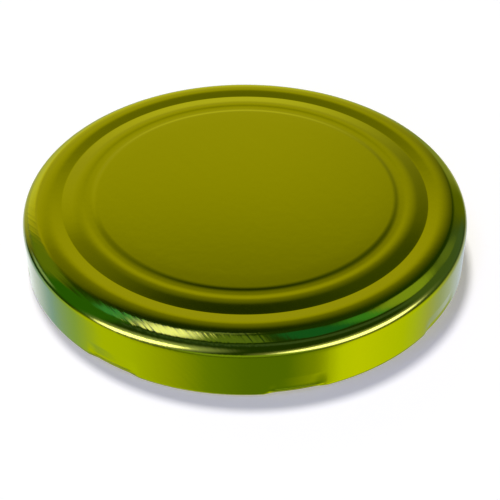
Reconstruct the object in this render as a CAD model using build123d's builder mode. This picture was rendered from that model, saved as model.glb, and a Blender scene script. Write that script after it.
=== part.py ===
from build123d import *
from math import cos, degrees, radians, sin, tan
import os

os.makedirs("parts", exist_ok=True)

# Lug lid for a glass jar, lying top up, in millimetres.
# The origin is on the lid's axis, in the plane that the rolled edge rests on. +Z is up, out of the top.

# Overall sizes and the sheet
outer_radius = 36.25
height = 10.7
plate = 0.20

# Outer ring and shoulder, from the crest outwards: a wide arc, a bend into a straight chamfer, a tighter bend
# into a short steep face, and a corner into the skirt. The slopes are in degrees below level.
ring_arc = 7.0
ring_turn = 10.0
chamfer_bend = 1.80
chamfer_slope = 30.0
chamfer_length = 1.05
shoulder_bend = 0.60
shoulder_slope = 44.0
shoulder_length = 0.60
corner_arc = 2.45

# Steps of the top, from the crest inwards: the ring's inner slope down to a sharp fold, a slope up to a low
# bead, a flat-floored groove and the flat panel. Each width runs to the next step, and each drop is measured
# down from the crest.
ring_inner_arc = 6.0
ring_inner_slope = 10.5
ring_inner_width = 2.60
valley_fold = 0.25
bead_arc = 8.5
bead_slope = 8.5
bead_slope_width = 2.80
bead_width = 1.35
groove_drop = 0.115
groove_floor = 0.45
groove_width = 1.20
panel_drop = 0.01

# Rolled edge: the sheet turns inwards and up, and its end stops short of the skirt
curl_radius = 0.80
curl_turn = 300.0

# Lugs: the curl pressed flat and pushed inwards, with a flank at each end where it swells to round again.
# Their angles are measured from +X.
lug_count = 8
lug_start = -78.25
lug_width = 6.3
lug_flank = 1.25
lug_reach = 2.65
lug_lift = 0.35
lug_thickness = 0.90
lug_press = 0.15
lug_rounding = 0.4

# Sealing compound in the channel under the outer ring
seal_inner_margin = 0.75
seal_outer_margin = 1.35
seal_depth = 1.10
seal_round = 0.20


def arc_run(radius, start, end):
    """How far outwards an arc reaches while its slope goes from start to end, in degrees."""
    return radius * (sin(radians(end)) - sin(radians(start)))


def slope_fall(radius, slope, width):
    """How far a slope falls over its width: an arc off the level, then straight on at the slope."""
    turn = radians(slope)
    return radius * (1 - cos(turn)) + (width - radius * sin(turn)) * tan(turn)


# Worked out from the sizes above
crest_radius = (
    outer_radius
    - arc_run(ring_arc, 0, ring_turn)
    - arc_run(chamfer_bend, ring_turn, chamfer_slope)
    - chamfer_length * cos(radians(chamfer_slope))
    - arc_run(shoulder_bend, chamfer_slope, shoulder_slope)
    - shoulder_length * cos(radians(shoulder_slope))
    - arc_run(corner_arc, shoulder_slope, 90)
)
valley_drop = slope_fall(ring_inner_arc, ring_inner_slope, ring_inner_width)
bead_drop = valley_drop - slope_fall(bead_arc, bead_slope, bead_slope_width)
valley_radius = crest_radius - ring_inner_width
bead_radius = valley_radius - bead_slope_width
groove_outer = bead_radius - bead_width
groove_inner = groove_outer - groove_floor
panel_radius = groove_inner - groove_width
inner_radius = outer_radius - plate
curl_width = 2 * curl_radius
lug_angle = degrees(lug_width / outer_radius)
flank_angle = degrees(lug_flank / outer_radius)
seal_inner = valley_radius + seal_inner_margin
seal_outer = inner_radius - seal_outer_margin
seal_face = height - plate - seal_depth


def level_point(radius, drop):
    return (radius, height - drop)


def swing(start, end):
    """Two equal arcs, level at both ends and tangent to each other half way."""
    middle = ((start[0] + end[0]) / 2, (start[1] + end[1]) / 2)
    first = TangentArc(start, middle, tangent=(1, 0))
    TangentArc(middle, end, tangent=first % 1)


def onwards(line, length):
    """A straight run that leaves the end of line along its own heading."""
    return Line(line @ 1, line @ 1 + length * (line % 1))


def draw_top(skirt_end):
    """The sheet's outer face, from the axis over the ring and down the skirt to skirt_end."""
    panel_edge = level_point(panel_radius, panel_drop)
    bead = level_point(bead_radius, bead_drop)
    valley = level_point(valley_radius, valley_drop)
    crest = level_point(crest_radius, 0)
    Line(level_point(0, panel_drop), panel_edge)
    swing(panel_edge, level_point(groove_inner, groove_drop))
    Line(level_point(groove_inner, groove_drop), level_point(groove_outer, groove_drop))
    swing(level_point(groove_outer, groove_drop), bead)
    bead_side = JernArc(bead, (1, 0), bead_arc, -bead_slope)
    Line(bead_side @ 1, valley)
    ring_side = JernArc(crest, (-1, 0), ring_inner_arc, ring_inner_slope)
    Line(valley, ring_side @ 1)
    ring = JernArc(crest, (1, 0), ring_arc, -ring_turn)
    into_chamfer = JernArc(ring @ 1, ring % 1, chamfer_bend, ring_turn - chamfer_slope)
    chamfer_face = onwards(into_chamfer, chamfer_length)
    into_shoulder = JernArc(
        chamfer_face @ 1, chamfer_face % 1, shoulder_bend, chamfer_slope - shoulder_slope
    )
    shoulder = onwards(into_shoulder, shoulder_length)
    corner = JernArc(shoulder @ 1, shoulder % 1, corner_arc, shoulder_slope - 90)
    skirt = Line(corner @ 1, (outer_radius, skirt_end))
    return valley, skirt


def inner_side(edge):
    """The same stretch of the sheet's inner face: the edge moved square to itself by the sheet's thickness."""
    start, middle, end = [
        edge @ place + plate * (edge % place).cross(Vector(0, 0, 1)) for place in (0, 0.5, 1)
    ]
    return Line(start, end) if edge.geom_type == GeomType.LINE else ThreePointArc(start, middle, end)


def radial_plane(angle):
    """The upright plane through the axis, turned from +X by angle: x is the radius and y the height."""
    turn = radians(angle)
    return Plane((0, 0, 0), x_dir=(cos(turn), sin(turn), 0), z_dir=(sin(turn), -cos(turn), 0))


def pressed_section():
    """The lug's section: the curl squeezed to a flat hem that points inwards."""
    centre = outer_radius - lug_press - lug_reach / 2
    with Locations((centre, lug_lift + lug_thickness / 2)):
        RectangleRounded(lug_reach, lug_thickness, lug_thickness * lug_rounding)


def curl_section():
    """The curl beside a lug, filled in as far as the middle of its sheet."""
    filled = curl_width - plate
    with Locations((outer_radius - curl_radius, curl_radius)):
        RectangleRounded(filled, filled, filled * lug_rounding)


# One lug, made about +X, with its two flanks
with BuildPart() as lug:
    with BuildSketch(radial_plane(-lug_angle / 2)):
        pressed_section()
    revolve(axis=Axis.Z, revolution_arc=lug_angle)
    for side in (-1, 1):
        with BuildSketch(radial_plane(side * lug_angle / 2)):
            pressed_section()
        with BuildSketch(radial_plane(side * (lug_angle / 2 + flank_angle))):
            curl_section()
        loft(ruled=True)

# The stretch of curl that a lug takes the place of. The skirt's wall stays above it.
with BuildPart() as lug_gap:
    with BuildSketch(radial_plane(-lug_angle / 2 - flank_angle)):
        with Locations((inner_radius, curl_radius)):
            Rectangle(2 * curl_width, 2 * curl_width, align=(Align.MAX, Align.CENTER))
        with Locations((inner_radius, curl_radius)):
            Rectangle(2 * curl_width, 2 * curl_width, align=(Align.MIN, Align.MAX))
    revolve(axis=Axis.Z, revolution_arc=lug_angle + 2 * flank_angle)

# The lid: the sheet's section turned about the axis, its curl opened at each lug and the lugs let in
with BuildPart() as shell:
    with BuildSketch(Plane.XZ) as sheet_section:
        with BuildLine() as outer_face:
            valley_point, skirt = draw_top(curl_radius)
            curl = JernArc(skirt @ 1, skirt % 1, curl_radius, -curl_turn)
            fold = outer_face.vertices().sort_by_distance(valley_point)[0]
            fillet(fold, valley_fold)
            inner_face = [inner_side(edge) for edge in outer_face.edges()]
            Line(inner_face[0] @ 0, level_point(0, panel_drop))
            Line(inner_face[-1] @ 1, curl @ 1)
        make_face()
    revolve(axis=Axis.Z)
    with PolarLocations(0, lug_count, lug_start):
        add(lug_gap.part, mode=Mode.SUBTRACT)
    with PolarLocations(0, lug_count, lug_start):
        add(lug.part)

shell.part.label = "lid_shell"
export_step(shell.part, "parts/lid_shell.step")

# The sealing ring: it fills the channel up to the sheet, and its free face is flat
with BuildPart() as seal:
    with BuildSketch(Plane.XZ) as seal_section:
        with BuildLine():
            skirt = draw_top(curl_radius)[1]
            Polyline(skirt @ 1, (0, curl_radius), level_point(0, panel_drop))
        make_face()
        add(sheet_section.sketch_local, mode=Mode.SUBTRACT)
        with Locations(((seal_inner + seal_outer) / 2, (seal_face + height) / 2)):
            Rectangle(seal_outer - seal_inner, height - seal_face, mode=Mode.INTERSECT)
        fillet(seal_section.vertices().group_by(Axis.Y)[0], seal_round)
    revolve(axis=Axis.Z)

seal.part.label = "sealing_ring"
export_step(seal.part, "parts/sealing_ring.step")
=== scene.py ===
# Lug lid for a glass jar, lying top up: lacquered tinplate with a ring of sealing compound under its rim.
from math import atan2, cos, degrees, pi, radians, sin, tan

import bpy
import numpy as np
from mathutils import Matrix, Vector


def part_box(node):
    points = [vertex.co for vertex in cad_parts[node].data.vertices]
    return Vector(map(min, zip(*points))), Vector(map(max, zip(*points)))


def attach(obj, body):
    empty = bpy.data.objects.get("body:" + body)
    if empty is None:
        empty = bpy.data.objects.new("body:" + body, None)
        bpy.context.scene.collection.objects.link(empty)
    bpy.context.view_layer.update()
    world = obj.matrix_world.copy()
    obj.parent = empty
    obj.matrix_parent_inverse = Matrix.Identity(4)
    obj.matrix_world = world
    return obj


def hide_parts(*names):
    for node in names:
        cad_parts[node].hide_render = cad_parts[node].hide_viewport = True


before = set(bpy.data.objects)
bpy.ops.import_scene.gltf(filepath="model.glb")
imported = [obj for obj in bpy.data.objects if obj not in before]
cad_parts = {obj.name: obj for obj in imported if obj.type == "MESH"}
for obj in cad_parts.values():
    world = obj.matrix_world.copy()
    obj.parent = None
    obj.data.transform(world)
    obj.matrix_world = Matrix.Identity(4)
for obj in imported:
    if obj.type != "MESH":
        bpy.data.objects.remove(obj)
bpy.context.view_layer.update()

mm = 0.001
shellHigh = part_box("lid_shell")[1]
sealLow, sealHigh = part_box("sealing_ring")

# The lid's sheet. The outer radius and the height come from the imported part, and the rest is set here,
# from the panel outwards. Arcs, bends, folds and the chamfer's slight crown are given by their radius,
# and slopes are below the level. The low skirt is the stretch above the curl, where the points lie
# closer together for the lugs.
lidSheet = {
    "outerRadius": shellHigh.x,
    "height": shellHigh.z,
    "plate": 0.20 * mm,
    "grooveDepth": 0.11 * mm,
    "grooveWidth": 1.32 * mm,
    "grooveFloor": 0.36 * mm,
    "beadRise": 0.045 * mm,
    "beadWidth": 1.32 * mm,
    "beadArc": 7.8 * mm,
    "beadSlope": radians(8.2),
    "beadSlopeWidth": 2.81 * mm,
    "valleyFold": 0.30 * mm,
    "ringInnerSlope": radians(7.2),
    "ringInnerWidth": 2.42 * mm,
    "ringInnerArc": 7.5 * mm,
    "ringArc": 7.45 * mm,
    "ringTurn": radians(10),
    "chamferBend": 2.04 * mm,
    "chamferSlope": radians(27.5),
    "chamferCrown": 12.0 * mm,
    "chamferTurn": radians(5),
    "shoulderBend": 1.73 * mm,
    "shoulderSlope": radians(44),
    "shoulderLength": 0.25 * mm,
    "cornerArc": 2.765 * mm,
    "lowSkirt": 2.8 * mm,
    "curlRadius": 0.80 * mm,
    "curlTurn": radians(300),
}
# The lugs, pressed out of the curl. Start is the middle of the first one, turned from +X, and the end
# gap is left between the pressed curl's end and the lug's face. The inset is a list of heights, each
# with how far the skirt above a lug is set in there, both in millimetres.
lugs = {
    "count": 8,
    "start": radians(-78.25),
    "width": 5.4 * mm,
    "flank": 2.2 * mm,
    "reach": 2.65 * mm,
    "lift": 0.25 * mm,
    "thickness": 0.90 * mm,
    "press": 0.28 * mm,
    "endGap": 0.60 * mm,
    "inset": (
        (0.70, 0.28), (0.78, 0.25), (0.88, 0.11), (0.97, 0.03),
        (1.08, 0.04), (1.28, 0.12), (1.55, 0.15), (3.4, 0.0),
    ),
}


# A line drawn in one go along the sheet. Runs and bends leave its end along its heading, which is an
# angle above the outward direction. A run goes straight on, and a bend goes round its own centre.
class Pen:
    def __init__(self, start, heading=0.0):
        self.points = np.array([start])
        self.headings = np.array([heading])

    def add(self, points, headings):
        self.points = np.concatenate([self.points, points])
        self.headings = np.concatenate([self.headings, headings])
        return len(self.points) - 1

    def run(self, length, steps):
        heading = self.headings[-1]
        reach = length * np.linspace(0, 1, steps + 1)[1:, None]
        return self.add(self.points[-1] + reach * [cos(heading), sin(heading)], np.full(steps, heading))

    # Upwards for a turn above 0 and downwards below it.
    def bend(self, radius, turn, steps):
        heading = self.headings[-1]
        headings = heading + turn * np.linspace(0, 1, steps + 1)[1:]
        moved = np.stack([np.sin(headings) - sin(heading), cos(heading) - np.cos(headings)], 1)
        return self.add(self.points[-1] + radius * np.sign(turn) * moved, headings)

    # Two equal bends that move a level line across and up, and leave it level again.
    def swing(self, across, up, steps):
        radius = (across ** 2 + up ** 2) / (4 * abs(up))
        turn = 2 * atan2(up, across)
        self.bend(radius, turn, steps)
        return self.bend(radius, -turn, steps)


# The sheet's outer face as one line, from the panel over the ring and down to the end of the curl, with
# the places in it where the skirt and the curl begin and the radius of the valley.
def outerLine(sheet):
    beadSlope, ringSlope = sheet["beadSlope"], sheet["ringInnerSlope"]
    # What the fold takes off each slope, and the slopes' straight lengths without it
    trim = sheet["valleyFold"] * tan((beadSlope + ringSlope) / 2)
    beadRun = (sheet["beadSlopeWidth"] - sheet["beadArc"] * sin(beadSlope)) / cos(beadSlope) - trim
    ringRun = (sheet["ringInnerWidth"] - sheet["ringInnerArc"] * sin(ringSlope)) / cos(ringSlope) - trim
    chamferEnd = sheet["chamferSlope"] + sheet["chamferTurn"]
    pen = Pen((0.0, 0.0))
    pen.swing(sheet["grooveWidth"], -sheet["grooveDepth"], steps=4)
    pen.run(sheet["grooveFloor"], steps=1)
    pen.swing(sheet["beadWidth"], sheet["beadRise"], steps=4)
    pen.bend(sheet["beadArc"], -beadSlope, steps=6)
    pen.run(beadRun, steps=4)
    valley = pen.bend(sheet["valleyFold"], beadSlope + ringSlope, steps=4)
    pen.run(ringRun, steps=4)
    pen.bend(sheet["ringInnerArc"], -ringSlope, steps=6)
    pen.bend(sheet["ringArc"], -sheet["ringTurn"], steps=6)
    pen.bend(sheet["chamferBend"], sheet["ringTurn"] - sheet["chamferSlope"], steps=8)
    pen.bend(sheet["chamferCrown"], -sheet["chamferTurn"], steps=6)
    pen.bend(sheet["shoulderBend"], chamferEnd - sheet["shoulderSlope"], steps=6)
    pen.run(sheet["shoulderLength"], steps=3)
    skirtFrom = pen.bend(sheet["cornerArc"], sheet["shoulderSlope"] - pi / 2, steps=16)
    # The skirt reaches from the corner to the curl, and the whole line then moves to its place
    rise = sheet["height"] - pen.points[:, 1].max()
    skirtLength = pen.points[skirtFrom, 1] + rise - sheet["curlRadius"]
    pen.run(skirtLength - sheet["lowSkirt"], steps=7)
    curlFrom = pen.run(sheet["lowSkirt"], steps=22)
    shift = [sheet["outerRadius"] - pen.points[-1, 0], rise]
    pen.bend(sheet["curlRadius"], -sheet["curlTurn"], steps=30)
    line = pen.points + shift
    # The flat panel's rings, evenly spaced from the middle to the groove
    panelRings = 8
    inwards = np.arange(1, panelRings)[:, None] / panelRings
    panel = line[0] * np.concatenate([inwards, np.ones_like(inwards)], 1)
    ahead = len(panel)
    return np.concatenate([panel, line]), skirtFrom + ahead, curlFrom + ahead, line[valley, 0]


# The same line at a lug. The skirt above it is set in by the insets, with straight lines between them,
# and the curl is pressed to a flat hem that points inwards: a quarter turn, a straight floor, a half
# turn and a straight way back. The curl's points are laid out evenly along the hem's length.
def lugLine(sheet, line, skirtFrom, curlFrom):
    pressed = line.copy()
    face = sheet["outerRadius"] - lugs["press"]
    turnRadius = lugs["thickness"] / 2
    top = lugs["lift"] + turnRadius
    skirt = line[skirtFrom:curlFrom + 1]
    left = (skirt[:, 1] - skirt[-1, 1]) / (skirt[0, 1] - skirt[-1, 1])
    heights = top + (skirt[0, 1] - top) * left
    stops = np.array(lugs["inset"]) * mm
    pressed[skirtFrom:curlFrom + 1, 0] = skirt[:, 0] - np.interp(heights, stops[:, 0], stops[:, 1])
    pressed[skirtFrom:curlFrom + 1, 1] = heights
    hem = Pen((face, top), -pi / 2)
    hem.bend(turnRadius, -pi / 2, steps=30)
    hem.run(lugs["reach"] - 2 * turnRadius, steps=30)
    hem.bend(turnRadius, -pi, steps=60)
    hem.run(lugs["reach"] - turnRadius - lugs["endGap"], steps=30)
    along = np.concatenate([[0], np.cumsum(np.hypot(*np.diff(hem.points, axis=0).T))])
    places = np.linspace(0, along[-1], len(line) - curlFrom)
    pressed[curlFrom:, 0] = np.interp(places, along, hem.points[:, 0])
    pressed[curlFrom:, 1] = np.interp(places, along, hem.points[:, 1])
    return pressed


# Angles round the lid, closer together in the lugs' flanks, and how far each is pressed: 1 in a lug, 0
# between lugs, and eased from one to the other over a flank.
def lugAngles(sheet):
    pitch = 2 * pi / lugs["count"]
    half = lugs["width"] / sheet["outerRadius"] / 2
    flank = lugs["flank"] / sheet["outerRadius"]
    # A flank, the lug, its other flank and the plain stretch up to the next lug
    stops = (-half - flank, -half, half, half + flank, pitch - half - flank)
    steps = (8, 5, 8, 26)
    once = np.concatenate([
        np.linspace(start, end, count, endpoint=False)
        for start, end, count in zip(stops, stops[1:], steps)
    ])
    away = np.abs((once + pitch / 2) % pitch - pitch / 2)
    press = np.clip((half + flank - away) / flank, 0, 1)
    press = press * press * (3 - 2 * press)
    turns = lugs["start"] + pitch * np.arange(lugs["count"])
    return (turns[:, None] + once).ravel(), np.tile(press, lugs["count"])


# The flat blank's radius for each point of the line. The ring that a step sweeps has the area it had
# when flat.
def blankRadius(line):
    steps = np.hypot(*np.diff(line, axis=0).T)
    middles = (line[1:, 0] + line[:-1, 0]) / 2
    area = line[0, 0] ** 2 + np.concatenate([[0], np.cumsum(2 * middles * steps)])
    return np.sqrt(area)


# A closed band of quads between every two rows of a grid, the last column joined to the first.
def bandFaces(rows, columns):
    row, column = np.meshgrid(np.arange(rows - 1), np.arange(columns), indexing="ij")
    follow = (column + 1) % columns
    start = row * columns
    corners = [start + column, start + columns + column, start + columns + follow, start + follow]
    return np.stack(corners, -1).reshape(-1, 4)


# A fan of triangles from the first pole to the grid's first row, and one from the second pole to its last.
# The two poles follow the grid's points.
def poleFans(rows, columns):
    column = np.arange(columns)
    follow = (column + 1) % columns
    last = (rows - 1) * columns
    topFan = np.stack([np.full(columns, rows * columns), column, follow], 1)
    underFan = np.stack([np.full(columns, rows * columns + 1), last + follow, last + column], 1)
    return np.concatenate([topFan, underFan])


# A smooth mesh in the scene, with one material index for each face.
def makeMesh(name, vertices, faces, materials, faceMaterial):
    mesh = bpy.data.meshes.new(name)
    mesh.from_pydata(vertices.tolist(), [], faces)
    for material in materials:
        mesh.materials.append(material)
    mesh.polygons.foreach_set("material_index", np.asarray(faceMaterial, np.int32))
    mesh.polygons.foreach_set("use_smooth", np.ones(len(faces), bool))
    mesh.validate()
    mesh.update()
    piece = bpy.data.objects.new(name, mesh)
    bpy.context.scene.collection.objects.link(piece)
    return piece


# An output socket of a node tree. Arithmetic on it adds Math nodes to the same tree.
class Signal:
    def __init__(self, tree, socket):
        self.tree = tree
        self.socket = socket

    def maths(self, operation, *inputs):
        return self.tree.node("ShaderNodeMath", {"operation": operation}, dict(enumerate(inputs)))

    def __add__(self, other):
        return self.maths("ADD", self, other)

    def __sub__(self, other):
        return self.maths("SUBTRACT", self, other)

    def __rsub__(self, other):
        return self.maths("SUBTRACT", other, self)

    def __mul__(self, other):
        return self.maths("MULTIPLY", self, other)

    def __truediv__(self, other):
        return self.maths("DIVIDE", self, other)

    def __pow__(self, other):
        return self.maths("POWER", self, other)

    def __abs__(self):
        return self.maths("ABSOLUTE", self)

    __radd__ = __add__
    __rmul__ = __mul__

    # 0 below low, 1 above high and a smooth rise between them. With low above high it is a fall instead.
    def rise(self, low, high):
        settings = {"interpolation_type": "SMOOTHSTEP"}
        if low < high:
            return self.tree.node("ShaderNodeMapRange", settings, {0: self, 1: low, 2: high})
        return 1 - self.tree.node("ShaderNodeMapRange", settings, {0: self, 1: high, 2: low})


# The nodes of one material or of the world. Settings are set first, then the sockets' values or links.
class Tree:
    def __init__(self, owner):
        owner.use_nodes = True
        self.owner = owner
        self.nodes = owner.node_tree.nodes
        self.links = owner.node_tree.links
        self.nodes.clear()

    def node(self, kind, settings=None, inputs=None, output=0):
        made = self.nodes.new(kind)
        for name, value in (settings or {}).items():
            if name == "stops":
                self.setStops(made.color_ramp, value)
            else:
                setattr(made, name, value)
        for name, value in (inputs or {}).items():
            if isinstance(value, Signal):
                self.links.new(value.socket, made.inputs[name])
            else:
                made.inputs[name].default_value = value
        return Signal(self, made.outputs[output]) if len(made.outputs) else made

    def setStops(self, ramp, stops):
        while len(ramp.elements) < len(stops):
            ramp.elements.new(1)
        for element, (place, colour) in zip(ramp.elements, stops):
            element.position = place
            element.color = (*colour, 1)

    def ramp(self, value, stops):
        return self.node("ShaderNodeValToRGB", {"stops": stops}, {0: value})

    # The Mix node's colours go in at sockets 6 and 7 and come out at 2.
    def mixColour(self, factor, first, second):
        inputs = {0: factor, 6: self.colour(first), 7: self.colour(second)}
        return self.node("ShaderNodeMix", {"data_type": "RGBA"}, inputs, 2)

    def colour(self, value):
        return value if isinstance(value, Signal) else (*value, 1)

    def scaled(self, vector, factor):
        return self.node("ShaderNodeVectorMath", {"operation": "SCALE"}, {0: vector, "Scale": factor})

    def parts(self, vector):
        split = self.node("ShaderNodeSeparateXYZ", None, {0: vector})
        return [Signal(self, socket) for socket in split.socket.node.outputs]

    def combined(self, x, y, z):
        return self.node("ShaderNodeCombineXYZ", None, {0: x, 1: y, 2: z})


def newMaterial(name):
    return Tree(bpy.data.materials.new(name))


def finishMaterial(tree, shader):
    tree.node("ShaderNodeOutputMaterial", None, {"Surface": shader})
    return tree.owner


# Gold-green lacquer over bright tinplate, with the sheet's rolling grain in the flat blank's own
# coordinates. Drawn, skirt and side are pairs of places in the blank: the grain comes up over the first
# as the sheet bends down, fades over the second towards the skirt, and is strongest past the third, on
# one side of the lid.
lacquer = {
    "colour": (0.58, 0.523, 0.03),
    "roughness": 0.12,
    "roughnessSpread": 0.05,
    "coat": 0.25,
    "coatRoughness": 0.06,
    "grainTurn": radians(38),
    "grainPitch": 0.5 * mm,
    "grainLength": 20 * mm,
    "grainHeight": 0.034 * mm,
    "drawn": (33.4 * mm, 34.2 * mm),
    "skirt": (35.4 * mm, 36.0 * mm),
    "skirtFade": 0.75,
    "side": (9 * mm, -5 * mm),
    "otherSide": 0.1,
    "peelSize": 1.6 * mm,
    "peelHeight": 0.003 * mm,
}


def lacquerMaterial():
    tree = newMaterial("goldLacquer")
    blank = tree.node("ShaderNodeAttribute", {"attribute_name": "blank"}, None, "Vector")
    across, along, _ = tree.parts(blank)
    turn = lacquer["grainTurn"]
    grainAcross = across * cos(turn) + along * sin(turn)
    grainAlong = along * cos(turn) - across * sin(turn)
    streakPlace = tree.combined(grainAcross / lacquer["grainPitch"], grainAlong / lacquer["grainLength"], 0)
    peelPlace = tree.scaled(blank, 1 / lacquer["peelSize"])
    flat = {"noise_dimensions": "2D"}
    streaks = tree.node("ShaderNodeTexNoise", flat, {"Vector": streakPlace, "Scale": 1.0, "Detail": 3.0})
    peel = tree.node("ShaderNodeTexNoise", flat, {"Vector": peelPlace, "Scale": 1.0, "Detail": 1.0})
    fromMiddle = tree.node("ShaderNodeVectorMath", {"operation": "LENGTH"}, {0: blank}, "Value")
    drawn = fromMiddle.rise(*lacquer["drawn"])
    skirt = 1 - lacquer["skirtFade"] * fromMiddle.rise(*lacquer["skirt"])
    side = lacquer["otherSide"] + (1 - lacquer["otherSide"]) * across.rise(*lacquer["side"])
    grain = streaks * drawn * skirt * side
    surface = grain * lacquer["grainHeight"] + peel * lacquer["peelHeight"]
    normal = tree.node("ShaderNodeBump", None, {"Strength": 1.0, "Distance": 1.0, "Height": surface})
    shader = tree.node("ShaderNodeBsdfPrincipled", None, {
        "Base Color": (*lacquer["colour"], 1),
        "Metallic": 1.0,
        "Roughness": lacquer["roughness"] + lacquer["roughnessSpread"] * (streaks - 0.5),
        "Normal": normal,
        "Coat Weight": lacquer["coat"],
        "Coat Roughness": lacquer["coatRoughness"],
    })
    return finishMaterial(tree, shader)


# Bare steel on the sheet's cut edge, with fine marks from the cut. The marks' scale is in marks to a
# metre.
cutEdge = {
    "colour": (0.62, 0.61, 0.59),
    "roughness": 0.25,
    "roughnessSpread": 0.2,
    "markScale": 4000.0,
}


def cutEdgeMaterial():
    tree = newMaterial("bareSteelEdge")
    place = tree.node("ShaderNodeTexCoord", None, None, "Object")
    sockets = {"Vector": place, "Scale": cutEdge["markScale"], "Detail": 2.0}
    marks = tree.node("ShaderNodeTexNoise", None, sockets)
    shader = tree.node("ShaderNodeBsdfPrincipled", None, {
        "Base Color": (*cutEdge["colour"], 1),
        "Metallic": 1.0,
        "Roughness": cutEdge["roughness"] + cutEdge["roughnessSpread"] * marks,
    })
    return finishMaterial(tree, shader)


# The sheet's section at every angle, as radius and height: the outer face, the cut edge and the inner
# face. The outer face goes from the plain line to the lug's by the press at that angle. The inner face
# is the outer one, at the rows in keep, moved square to itself by the sheet's thickness, and the cut
# edge is a half round.
def sheetSection(line, pressed, press, keep):
    share = press[None, :, None]
    outer = line[:, None, :] * (1 - share) + pressed[:, None, :] * share
    run = np.gradient(outer, axis=0)
    run /= np.linalg.norm(run, axis=2, keepdims=True)
    inward = np.stack([run[..., 1], -run[..., 0]], -1)
    halfPlate = lidSheet["plate"] / 2
    turns = np.linspace(0, pi, 6)[1:-1, None, None]
    edge = outer[-1] + inward[-1] * halfPlate * (1 - np.cos(turns)) + run[-1] * halfPlate * np.sin(turns)
    inner = (outer + inward * lidSheet["plate"])[keep]
    return outer, edge, inner


# The place of every point in the flat blank: its angle and its row's blank radius, level, and 0 at the
# poles.
def blankPlaces(radii, angles):
    radii = radii[:, None]
    level = np.zeros((len(radii), len(angles)))
    places = np.stack([radii * np.cos(angles), radii * np.sin(angles), level], -1)
    return np.concatenate([places.reshape(-1, 3), np.zeros((2, 3))])


# The lid's own sheet as one closed surface: its section turned about the axis, with a pole on each side.
def makeLid():
    line, skirtFrom, curlFrom, _ = outerLine(lidSheet)
    pressed = lugLine(lidSheet, line, skirtFrom, curlFrom)
    angles, press = lugAngles(lidSheet)
    # The inner face has every other row of the outer one, from the curl's end back to the middle
    keep = np.unique(np.append(np.arange(0, len(line), 2), len(line) - 1))[::-1]
    outer, edge, inner = sheetSection(line, pressed, press, keep)
    section = np.concatenate([outer, edge, inner])
    rows, columns = section.shape[:2]
    radius, height = section[..., 0], section[..., 1]
    grid = np.stack([radius * np.cos(angles), radius * np.sin(angles), height], -1)
    poles = [[0, 0, height[0, 0]], [0, 0, height[-1, 0]]]
    vertices = np.concatenate([grid.reshape(-1, 3), poles])
    faces = bandFaces(rows, columns).tolist() + poleFans(rows, columns).tolist()
    rowOfQuad = np.repeat(np.arange(rows - 1), columns)
    isEdge = (rowOfQuad >= len(line) - 1) & (rowOfQuad < len(line) + len(edge))
    faceMaterial = np.concatenate([isEdge.astype(int), np.zeros(2 * columns, int)])
    materials = [lacquerMaterial(), cutEdgeMaterial()]
    lid = makeMesh("lid_shell_dressed", vertices, faces, materials, faceMaterial)
    flat = blankRadius(line)
    blank = blankPlaces(np.concatenate([flat, np.full(len(edge), flat[-1]), flat[keep]]), angles)
    attribute = lid.data.attributes.new("blank", "FLOAT_VECTOR", "POINT")
    attribute.data.foreach_set("vector", blank.astype(np.float32).ravel())
    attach(lid, "root")
    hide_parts("lid_shell")


# Sealing compound, flowed in as a paste and cured. Its mottling and its fine grain have their scales in
# features to a metre.
compound = {
    "faceHeight": sealLow.z,
    "innerMargin": 0.75 * mm,
    "outerRadius": sealHigh.x,
    "round": 0.20 * mm,
    "dip": 0.07 * mm,
    "columns": 360,
    "colour": (0.86, 0.85, 0.80),
    "darkShare": 0.9,
    "roughness": 0.42,
    "roughnessSpread": 0.1,
    "flowScale": 260.0,
    "flowHeight": 0.02 * mm,
    "grainScale": 3500.0,
    "grainHeight": 0.002 * mm,
}


def compoundMaterial():
    tree = newMaterial("sealingCompound")
    place = tree.node("ShaderNodeTexCoord", None, None, "Object")
    flowSockets = {"Vector": place, "Scale": compound["flowScale"], "Detail": 3.0}
    grainSockets = {"Vector": place, "Scale": compound["grainScale"], "Detail": 2.0}
    flow = tree.node("ShaderNodeTexNoise", None, flowSockets)
    grain = tree.node("ShaderNodeTexNoise", None, grainSockets)
    light = compound["colour"]
    dark = tuple(compound["darkShare"] * part for part in light)
    surface = flow * compound["flowHeight"] + grain * compound["grainHeight"]
    normal = tree.node("ShaderNodeBump", None, {"Strength": 1.0, "Distance": 1.0, "Height": surface})
    shader = tree.node("ShaderNodeBsdfPrincipled", None, {
        "Base Color": tree.mixColour(flow, dark, light),
        "Roughness": compound["roughness"] + compound["roughnessSpread"] * (grain - 0.5),
        "Normal": normal,
    })
    return finishMaterial(tree, shader)


# The ring's section as one loop of radii and heights. The upper side follows the sheet's inner face,
# and the free face runs back below it, rounded at both ends and with a shallow dip between them,
# deepest in the middle.
def sealSection():
    line, _, curlFrom, valleyRadius = outerLine(lidSheet)
    run = np.gradient(line, axis=0)
    run /= np.linalg.norm(run, axis=1, keepdims=True)
    under = (line + np.stack([run[:, 1], -run[:, 0]], 1) * lidSheet["plate"])[:curlFrom]
    inner, outer = valleyRadius + compound["innerMargin"], compound["outerRadius"]
    radii = np.linspace(inner, outer, 30)
    upper = np.stack([radii, np.interp(radii, under[:, 0], under[:, 1])], 1)
    faceRadii = outer - (outer - inner) * (1 - np.cos(np.linspace(0, pi, 34))) / 2
    edgeGap = np.minimum(faceRadii - inner, outer - faceRadii)
    roundOff = np.clip(1 - edgeGap / compound["round"], 0, 1)
    dip = compound["dip"] * np.sin(pi * (faceRadii - inner) / (outer - inner)) ** 2
    heights = compound["faceHeight"] + compound["round"] * (1 - np.sqrt(1 - roundOff ** 2)) + dip
    return np.concatenate([upper, np.stack([faceRadii, heights], 1), upper[:1]])


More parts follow.
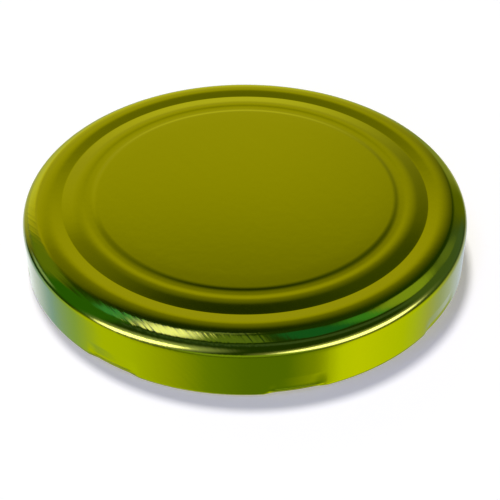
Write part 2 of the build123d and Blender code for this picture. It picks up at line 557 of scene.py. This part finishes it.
# The ring: its section turned about the axis. The section's last row lies on its first, so the faces
# wrap there.
def makeSeal():
    section = sealSection()
    angles = np.linspace(0, 2 * pi, compound["columns"], endpoint=False)
    rows, columns = len(section), len(angles)
    radius, height = section[:, :1], section[:, 1:]
    grid = np.stack([radius * np.cos(angles), radius * np.sin(angles), np.repeat(height, columns, 1)], -1)
    vertices = grid[:-1].reshape(-1, 3)
    faces = bandFaces(rows, columns) % len(vertices)
    materials = [compoundMaterial()]
    ring = makeMesh("sealing_ring_flowed", vertices, faces.tolist(), materials, np.zeros(len(faces)))
    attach(ring, "root")
    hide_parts("sealing_ring")


# The camera looks down at the lid from the front, through a long lens, as in the photograph. Angles are
# in degrees, and the lens and the sensor in the camera's own millimetres.
cameraSetup = {
    "place": (0.0, -160.47 * mm, 127.4 * mm),
    "down": 38.806,
    "yaw": 0.234,
    "roll": -0.091,
    "lens": 87.5,
    "sensor": 36.0,
    "near": 0.01,
    "far": 10.0,
}


def makeCamera():
    data = bpy.data.cameras.new("camera")
    data.lens = cameraSetup["lens"]
    data.sensor_width = cameraSetup["sensor"]
    data.clip_start = cameraSetup["near"]
    data.clip_end = cameraSetup["far"]
    camera = bpy.data.objects.new("camera", data)
    bpy.context.scene.collection.objects.link(camera)
    turn = Matrix.Rotation(radians(90 - cameraSetup["down"]), 4, "X")
    turn = turn @ Matrix.Rotation(-radians(cameraSetup["yaw"]), 4, "Y")
    turn = turn @ Matrix.Rotation(radians(cameraSetup["roll"]), 4, "Z")
    camera.matrix_world = Matrix.Translation(cameraSetup["place"]) @ turn
    bpy.context.scene.camera = camera


# Light from all round, as the lid mirrors it. Azimuth runs from behind the lid towards +X, elevation up
# from the horizon, both in degrees. The world is dark but for the light at the back, the light from the
# floor below the horizon, a faint rail and a few patches. Stops are pairs of an angle and a colour. A
# patch has its middle, its half sizes, how far it drops for each degree to the right, how square it is
# (2 is an oval), how soft its edge is as a share of its size, and its colour. The rail is a strip that
# sinks from the camera's side towards the back.
surround = {
    "dark": (0.017, 0.046, 0.0),
    "backCentre": -18.0,
    "backFull": 18.0,
    "backGone": 52.0,
    "backStops": (
        (-20, (0.46, 0.50, 0.2)), (-8, (0.52, 0.57, 0.14)), (5, (0.74, 0.80, 0.16)),
        (17, (0.65, 0.68, 0.06)), (26, (0.465, 0.485, 0.06)), (31, (0.485, 0.51, 0.03)),
        (36, (0.435, 0.46, 0.0)), (38.3, (0.34, 0.37, 0.0)), (40.3, (0.225, 0.25, 0.0)),
        (46, (0.165, 0.195, 0.0)), (50, (0.115, 0.145, 0.0)), (55, (0.035, 0.055, 0.0)),
        (59, (0.012, 0.028, 0.0)), (75, (0.012, 0.03, 0.0)),
    ),
    "patches": (
        ((-94, 20), (20, 34), 0.0, 4, 0.25, (0.03, 0.16, 0.01)),
        ((72, 10), (26, 24), 0.0, 4, 0.3, (0.07, 0.14, 0.12)),
        ((-63, 22), (13, 17), 0.0, 4, 0.3, (0.16, 0.26, 0.03)),
        ((-160, 74), (30, 8), 0.0, 6, 0.2, (0.14, 0.25, 0.12)),
        ((175, 74), (16, 8), 0.0, 6, 0.2, (0.13, 0.24, 0.12)),
        ((119, 68), (20, 11), 0.0, 6, 0.2, (0.01, 0.15, 0.2)),
        ((91, 57), (9, 9), 0.0, 4, 0.5, (0.055, 0.335, 0.2)),
        ((74, 45), (13, 11), 0.0, 4, 0.4, (0.30, 0.48, 0.14)),
        ((57, 28), (6, 7), 0.0, 4, 0.5, (0.14, 0.23, 0.12)),
        ((38, 3), (9, 20), 0.0, 3, 0.5, (0.13, 0.18, 0.0)),
        ((26, -4), (8, 16), 0.0, 3, 0.5, (0.27, 0.34, 0.08)),
        ((0, -22), (36, 8), 0.0, 4, 0.3, (0.45, 0.50, 0.2)),
        ((0, -66), (90, 18), 0.0, 4, 0.3, (0.25, 0.32, 0.05)),
        ((-89, 56), (8, 8), 0.0, 4, 0.25, (0.06, 0.40, 0.6)),
        ((-114, 67), (19, 9), 0.0, 2.5, 0.6, (1.6, 1.85, 5.0)),
        ((-53, 84), (62, 7), 0.0, 6, 0.15, (0.18, 0.27, 0.4)),
        ((-140, 8), (28, 18), 0.4, 2, 0.5, (0.40, 0.55, 1.2)),
        ((-132, 0.5), (21, 8), 0.45, 2.5, 0.3, (3.2, 3.6, 10.0)),
        ((132, 0), (38, 13), 0.0, 2, 0.5, (0.45, 0.55, 1.0)),
        ((131, -2), (33, 7), 0.0, 2.5, 0.3, (3.2, 3.6, 10.0)),
        ((-72, -6), (10, 6), 0.0, 2, 0.4, (0.30, 0.50, 0.8)),
        ((-73, -20), (24, 5), 0.0, 4, 0.3, (0.01, 0.05, 0.0)),
        ((-180, -11), (32, 6), 0.0, 4, 0.4, (0.27, 0.46, 0.1)),
        ((180, -11), (32, 6), 0.0, 4, 0.4, (0.27, 0.46, 0.1)),
    ),
    "railTop": 48.0,
    "railSpread": 370.0,
    "railHalf": 2.6,
    "railSoft": 0.4,
    "railEnd": (140, 120),
    "railColour": (0.06, 0.12, 0.2),
    "lowFrom": -14.0,
    "lowFull": -27.0,
    "lowStops": (
        (-180, (0.14, 0.26, 0.0)), (-160, (0.20, 0.34, 0.0)), (-140, (0.42, 0.56, 0.0)),
        (-118, (0.58, 0.78, 0.0)), (-100, (0.61, 0.81, 0.0)), (-90, (0.46, 0.67, 0.12)),
        (-80, (0.33, 0.57, 0.33)), (-70, (0.32, 0.54, 0.58)), (-58, (0.29, 0.51, 0.95)),
        (-40, (0.68, 0.80, 1.1)), (-10, (1.3, 1.35, 1.4)), (22, (0.58, 0.66, 0.8)),
        (40, (0.52, 0.62, 0.75)), (58, (0.42, 0.54, 0.5)), (70, (0.50, 0.62, 0.24)),
        (80, (0.58, 0.78, 0.07)), (90, (0.67, 0.88, 0.0)), (118, (0.82, 1.02, 0.0)),
        (129, (0.78, 1.00, 0.0)), (141, (0.33, 0.46, 0.0)), (158, (0.13, 0.25, 0.0)),
        (180, (0.14, 0.26, 0.0)),
    ),
}


# A ramp over an angle, from its first stop's to its last's.
def angleRamp(tree, angle, stops):
    low, high = stops[0][0], stops[-1][0]
    span = high - low
    return tree.ramp((angle - low) / span, [((place - low) / span, colour) for place, colour in stops])


def makeWorld():
    world = bpy.data.worlds.new("surround")
    bpy.context.scene.world = world
    tree = Tree(world)
    # A world's first texture coordinate is the direction that is looked in
    direction = tree.node("ShaderNodeTexCoord")
    x, y, z = tree.parts(direction)
    azimuth = x.maths("ARCTAN2", x, y) * degrees(1)
    elevation = z.maths("ARCSINE", z) * degrees(1)
    back = angleRamp(tree, elevation, surround["backStops"])
    backShare = abs(azimuth - surround["backCentre"]).rise(surround["backGone"], surround["backFull"])
    light = tree.mixColour(backShare, surround["dark"], back)
    low = angleRamp(tree, azimuth, surround["lowStops"])
    light = tree.mixColour(elevation.rise(surround["lowFrom"], surround["lowFull"]), light, low)
    fromCamera = 180 - abs(azimuth)
    rail = abs(elevation - surround["railTop"] + fromCamera * fromCamera / surround["railSpread"])
    railHalf, railSoft = surround["railHalf"], surround["railSoft"]
    railShare = rail.rise((1 + railSoft) * railHalf, (1 - railSoft) * railHalf)
    railShare = railShare * fromCamera.rise(*surround["railEnd"])
    light = tree.mixColour(railShare, light, surround["railColour"])
    for place, half, drop, square, soft, colour in surround["patches"]:
        across = azimuth - place[0]
        level = elevation - place[1] + across * drop
        away = (abs(across / half[0]) ** square + abs(level / half[1]) ** square) ** (1 / square)
        light = tree.mixColour(away.rise(1 + soft, 1 - soft), light, colour)
    seen = tree.node("ShaderNodeLightPath", None, None, "Is Camera Ray")
    light = tree.mixColour(seen, light, (1, 1, 1))
    shader = tree.node("ShaderNodeBackground", None, {"Color": light, "Strength": 1.0})
    tree.node("ShaderNodeOutputWorld", None, {"Surface": shader})


# A pale floor. What the camera sees of it is lifted to white, and the lid's shadow stays on it. A
# mirrored ray passes through, so that the world below the horizon stands in for the floor in the lid.
floorSetup = {
    "size": 4.0,
    "colour": (0.86, 0.84, 0.82),
    "lift": (0.34, 0.30, 0.32),
}


def makeFloor():
    half = floorSetup["size"] / 2
    corners = [(-half, -half, 0), (half, -half, 0), (half, half, 0), (-half, half, 0)]
    mesh = bpy.data.meshes.new("floor")
    mesh.from_pydata(corners, [], [(0, 1, 2, 3)])
    tree = newMaterial("paleFloor")
    seen = tree.node("ShaderNodeLightPath", None, None, "Is Camera Ray")
    mirrored = tree.node("ShaderNodeLightPath", None, None, "Is Glossy Ray")
    shader = tree.node("ShaderNodeBsdfDiffuse", None, {"Color": (*floorSetup["colour"], 1)})
    glow = tree.node("ShaderNodeEmission", None, {"Color": (*floorSetup["lift"], 1), "Strength": seen})
    lit = tree.node("ShaderNodeAddShader", None, {0: shader, 1: glow})
    clear = tree.node("ShaderNodeBsdfTransparent")
    under = tree.node("ShaderNodeNewGeometry", None, None, "Backfacing")
    hidden = mirrored.maths("MAXIMUM", mirrored, under)
    whole = tree.node("ShaderNodeMixShader", None, {0: hidden, 1: lit, 2: clear})
    mesh.materials.append(finishMaterial(tree, whole))
    floor = bpy.data.objects.new("floor", mesh)
    bpy.context.scene.collection.objects.link(floor)


# One broad lamp high behind the lid, to its left, for the soft shadow in front and to the right. Angles
# are in degrees: how wide it looks, how steeply its light comes down, and its azimuth as in the
# surround.
lamp = {
    "strength": 2.2,
    "width": 12.0,
    "down": 69.0,
    "azimuth": -20.0,
}


def makeLamp():
    data = bpy.data.lights.new("highLamp", "SUN")
    data.energy = lamp["strength"]
    data.angle = radians(lamp["width"])
    light = bpy.data.objects.new("highLamp", data)
    bpy.context.scene.collection.objects.link(light)
    azimuth, down = radians(lamp["azimuth"]), radians(lamp["down"])
    towards = Vector((sin(azimuth) * cos(down), cos(azimuth) * cos(down), sin(down)))
    light.rotation_mode = "QUATERNION"
    light.rotation_quaternion = towards.to_track_quat("Z", "Y")
    light.visible_glossy = False


bpy.context.scene.view_settings.view_transform = "Standard"
makeCamera()
makeWorld()
makeFloor()
makeLamp()
print("stage ready")
makeLid()
print("lid ready")
makeSeal()
print("sealing ring ready")
